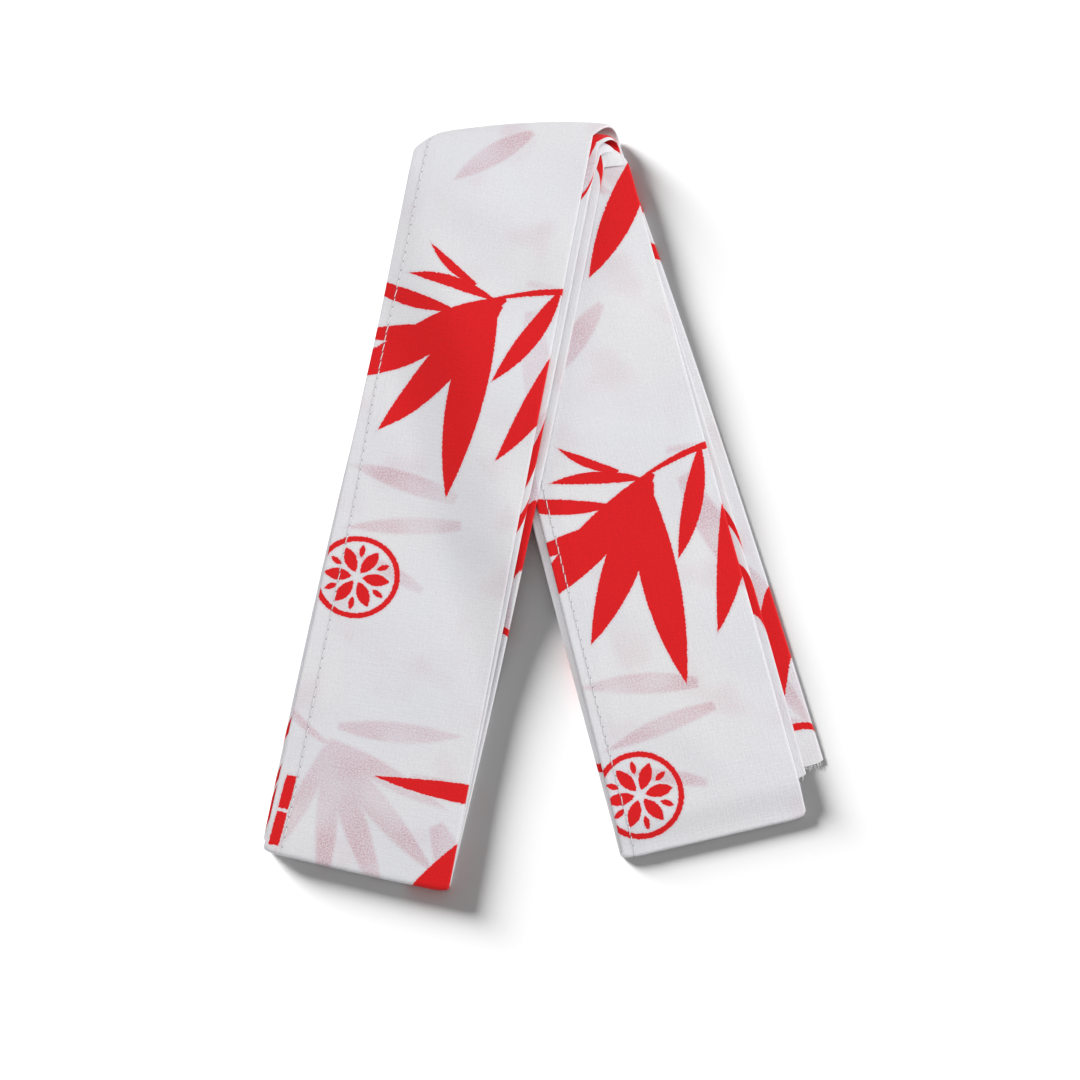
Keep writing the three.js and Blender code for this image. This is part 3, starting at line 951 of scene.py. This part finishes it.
class BeltCloth(bpy.types.PropertyGroup):
    """Sizes of the cloth, its seam and its cut ends, in millimetres unless they say otherwise."""

    ply: size_property("Ply", "Thickness of the cotton", 0.24)
    face_height: size_property("Face height", "A layer's middle to the middle of its outer plies", 0.38)
    allowance_height: size_property("Allowance height", "A layer's middle to its turned-in plies", 0.13)
    allowance: size_property("Allowance", "Width turned in along each raw edge", 8.0, low=3.0)
    stitch: size_property("Stitch", "From one needle hole to the next", 3.03, low=1.0)
    thread: size_property("Thread", "Thickness of the thread", 0.26)
    yarn: size_property("Yarn", "Thickness of a frayed yarn, drawn coarser than real", 0.18)
    fray_count: IntProperty(
        name="Frays", description="Loose yarns on each ply's cut end", default=90, min=0
    )
    seed: IntProperty(name="Seed", description="Start of the random numbers for the frays", default=7)
    cut_length_outer: FloatProperty(
        name="Outer runs", description="Strip in the two outer runs", default=0.940, subtype="DISTANCE"
    )
    cut_length_inner: FloatProperty(
        name="Inner runs", description="Strip in the two inner runs", default=0.932, subtype="DISTANCE"
    )


def colour_property(name, description, default):
    return StringProperty(name=name, description=f"{description}, as sRGB hex", default=default)


def share_property(name, description, default):
    return FloatProperty(name=name, description=description, default=default, min=0, max=1)


class BeltLooks(bpy.types.PropertyGroup):
    """Colours and strength of what shows on the cloth."""

    cotton_cool: colour_property("Cotton, cool", "Bleached cotton where it is bluest", "#e6e7ec")
    cotton_warm: colour_property("Cotton, warm", "Bleached cotton where it is warmest", "#ebe9e8")
    cotton_shade: colour_property("Cotton, low", "Bleached cotton between its threads", "#d9d9de")
    red: colour_property("Red", "Printed red", "#e61418")
    red_shade: colour_property("Red, low", "Printed red between the threads", "#cf1219")
    pink: colour_property("Show-through", "Red seen through a ply", "#c58c9b")
    show_through: share_property("Show-through strength", "How much the ply below shows", 0.44)
    thread: colour_property("Thread", "Thread", "#f4f4f4")
    thread_shade: colour_property("Thread, low", "Between the thread's plies", "#dcdcde")
    # The needle-hole colour and the two darkness shares below are painted shade along the seam, not a
    # colour of the cloth
    hole_shade: colour_property("Needle holes", "Cloth in a needle hole", "#77707a")
    hole: share_property("Holes", "How dark the needle holes are", 0.62)
    groove: share_property("Groove", "How dark the groove along the seam is", 0.10)


class BeltStage(bpy.types.PropertyGroup):
    """Camera, light and floor."""

    elevation: FloatProperty(
        name="Elevation",
        description="Camera angle over the surface",
        default=radians(72.0),
        subtype="ANGLE",
    )
    distance: FloatProperty(
        name="Distance", description="Camera to the point it looks at", default=0.6977, subtype="DISTANCE"
    )
    lens: FloatProperty(name="Lens", description="Focal length on a 36 mm sensor, mm", default=76.25)
    floor: colour_property("Floor", "Studio board", "#fcfcfc")
    floor_shade: colour_property("Floor, low", "Studio board between its fibres", "#fafafa")
    floor_size: FloatProperty(name="Floor size", description="Side of the board", default=4.0)
    fill: FloatProperty(name="Fill", description="Strength of the light from all round", default=0.24)


# Operators


class BELT_OT_stage(bpy.types.Operator):
    """Set up the camera at the photograph's angle, the lights and the floor"""

    bl_idname = "belt.stage"
    bl_label = "Stage"

    def execute(self, context):
        stage = context.scene.belt_stage
        scene = context.scene
        scene.view_settings.view_transform = "Standard"
        aim = to_scene(np.zeros(3))
        tilt = pi / 2 - stage.elevation
        back = np.array([0.0, -sin(tilt), cos(tilt)])
        camera = bpy.data.cameras.new("camera")
        camera.lens = stage.lens
        camera.sensor_width = 36.0
        view = bpy.data.objects.new("camera", camera)
        view.location = aim + back * stage.distance
        view.rotation_euler = (tilt, 0.0, 0.0)
        scene.collection.objects.link(view)
        scene.camera = view

        bpy.ops.object.select_all(action="DESELECT")
        bpy.ops.mesh.primitive_plane_add(size=stage.floor_size, location=(0, 0, 0))
        board = context.object
        board.name = "floor"
        board.data.materials.append(matt_board(stage))

        # A low lamp for the drop shadow lights the floor alone. Soft lamps light the belt alone.
        sun = self.lamp("shadow_key", "SUN", board, "INCLUDE", place=(-2.1, 1.8, 0.76), energy=10.4)
        sun.angle = radians(22)
        self.disk("overhead", board, place=(-0.05, 0.22, 0.95), size=1.2, energy=4.9)
        self.disk("right_rim", board, place=(0.90, 0.15, 0.42), size=0.5, energy=7.0)
        self.disk("left_rim", board, place=(-0.95, 0.10, 0.50), size=0.5, energy=3.0)
        world = bpy.data.worlds.new("studio")
        world.use_nodes = True
        background = world.node_tree.nodes["Background"]
        background.inputs["Color"].default_value = (1, 1, 1, 1)
        background.inputs["Strength"].default_value = stage.fill
        scene.world = world
        return {"FINISHED"}

    def lamp(self, name, kind, board, state, place, energy):
        """A lamp aimed at the belt, which lights the floor alone or all but the floor."""
        light = bpy.data.lights.new(name, kind)
        light.energy = energy
        lamp = bpy.data.objects.new(name, light)
        lamp.location = place
        lamp.rotation_euler = (-Vector(place)).to_track_quat("-Z", "Y").to_euler()
        bpy.context.scene.collection.objects.link(lamp)
        lit = bpy.data.collections.new(name + "_lit")
        lit.objects.link(board)
        lit.collection_objects[0].light_linking.link_state = state
        lamp.light_linking.receiver_collection = lit
        return light

    def disk(self, name, board, place, size, energy):
        light = self.lamp(name, "AREA", board, "EXCLUDE", place, energy)
        light.shape = "DISK"
        light.size = size


def make_run(context, name, run, node, at_start):
    """A run's cloth with its seam and its frayed cut end."""
    cloth = context.scene.belt_cloth
    form = cloth_form(run, cloth)
    rng = np.random.default_rng(cloth.seed + at_start)
    sheet = cloth_sheet(name + "_runs", form, cloth)
    seam = threads_object(name + "_seam", stitches(form, cloth))
    ends = threads_object(name + "_frays", frays(form, cloth, at_start, rng))
    finish_piece(sheet, cotton_material(context))
    finish_piece(seam, thread_material(context))
    finish_piece(ends, thread_material(context))
    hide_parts(node)


class BELT_OT_outer_runs(bpy.types.Operator):
    """Make the two outer runs, whose faces show on both arms, with their seam and cut end"""

    bl_idname = "belt.outer_runs"
    bl_label = "Outer runs"

    def execute(self, context):
        make_run(context, "outer", outer_run, "belt_outer_runs", True)
        return {"FINISHED"}


class BELT_OT_inner_runs(bpy.types.Operator):
    """Make the two inner runs, which show as edges between the outer ones, with their seam and cut end"""

    bl_idname = "belt.inner_runs"
    bl_label = "Inner runs"

    def execute(self, context):
        make_run(context, "inner", inner_run, "belt_inner_runs", False)
        return {"FINISHED"}


class VIEW3D_PT_tie_belt(bpy.types.Panel):
    """Lists the belt's pieces and their settings"""

    bl_label = "Tie belt"
    bl_idname = "VIEW3D_PT_tie_belt"
    bl_space_type = "VIEW_3D"
    bl_region_type = "UI"
    bl_category = "Tie belt"

    def draw(self, context):
        layout = self.layout
        for operator in OPERATORS:
            layout.operator(operator.bl_idname)
        for name in ("belt_cloth", "belt_looks", "belt_stage"):
            group = getattr(context.scene, name)
            box = layout.box()
            for key in group.bl_rna.properties.keys():
                if key not in ("rna_type", "name"):
                    box.prop(group, key)


PROPERTY_GROUPS = {"belt_cloth": BeltCloth, "belt_looks": BeltLooks, "belt_stage": BeltStage}
OPERATORS = (BELT_OT_stage, BELT_OT_outer_runs, BELT_OT_inner_runs)
CLASSES = (*PROPERTY_GROUPS.values(), *OPERATORS, VIEW3D_PT_tie_belt)


def register():
    for cls in CLASSES:
        bpy.utils.register_class(cls)
    for name, group in PROPERTY_GROUPS.items():
        setattr(bpy.types.Scene, name, PointerProperty(type=group))


def unregister():
    for name in PROPERTY_GROUPS:
        delattr(bpy.types.Scene, name)
    for cls in reversed(CLASSES):
        bpy.utils.unregister_class(cls)


def main():
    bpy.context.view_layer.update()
    register()
    for operator in OPERATORS:
        group, name = operator.bl_idname.split(".")
        getattr(getattr(bpy.ops, group), name)()


if __name__ == "__main__":
    main()
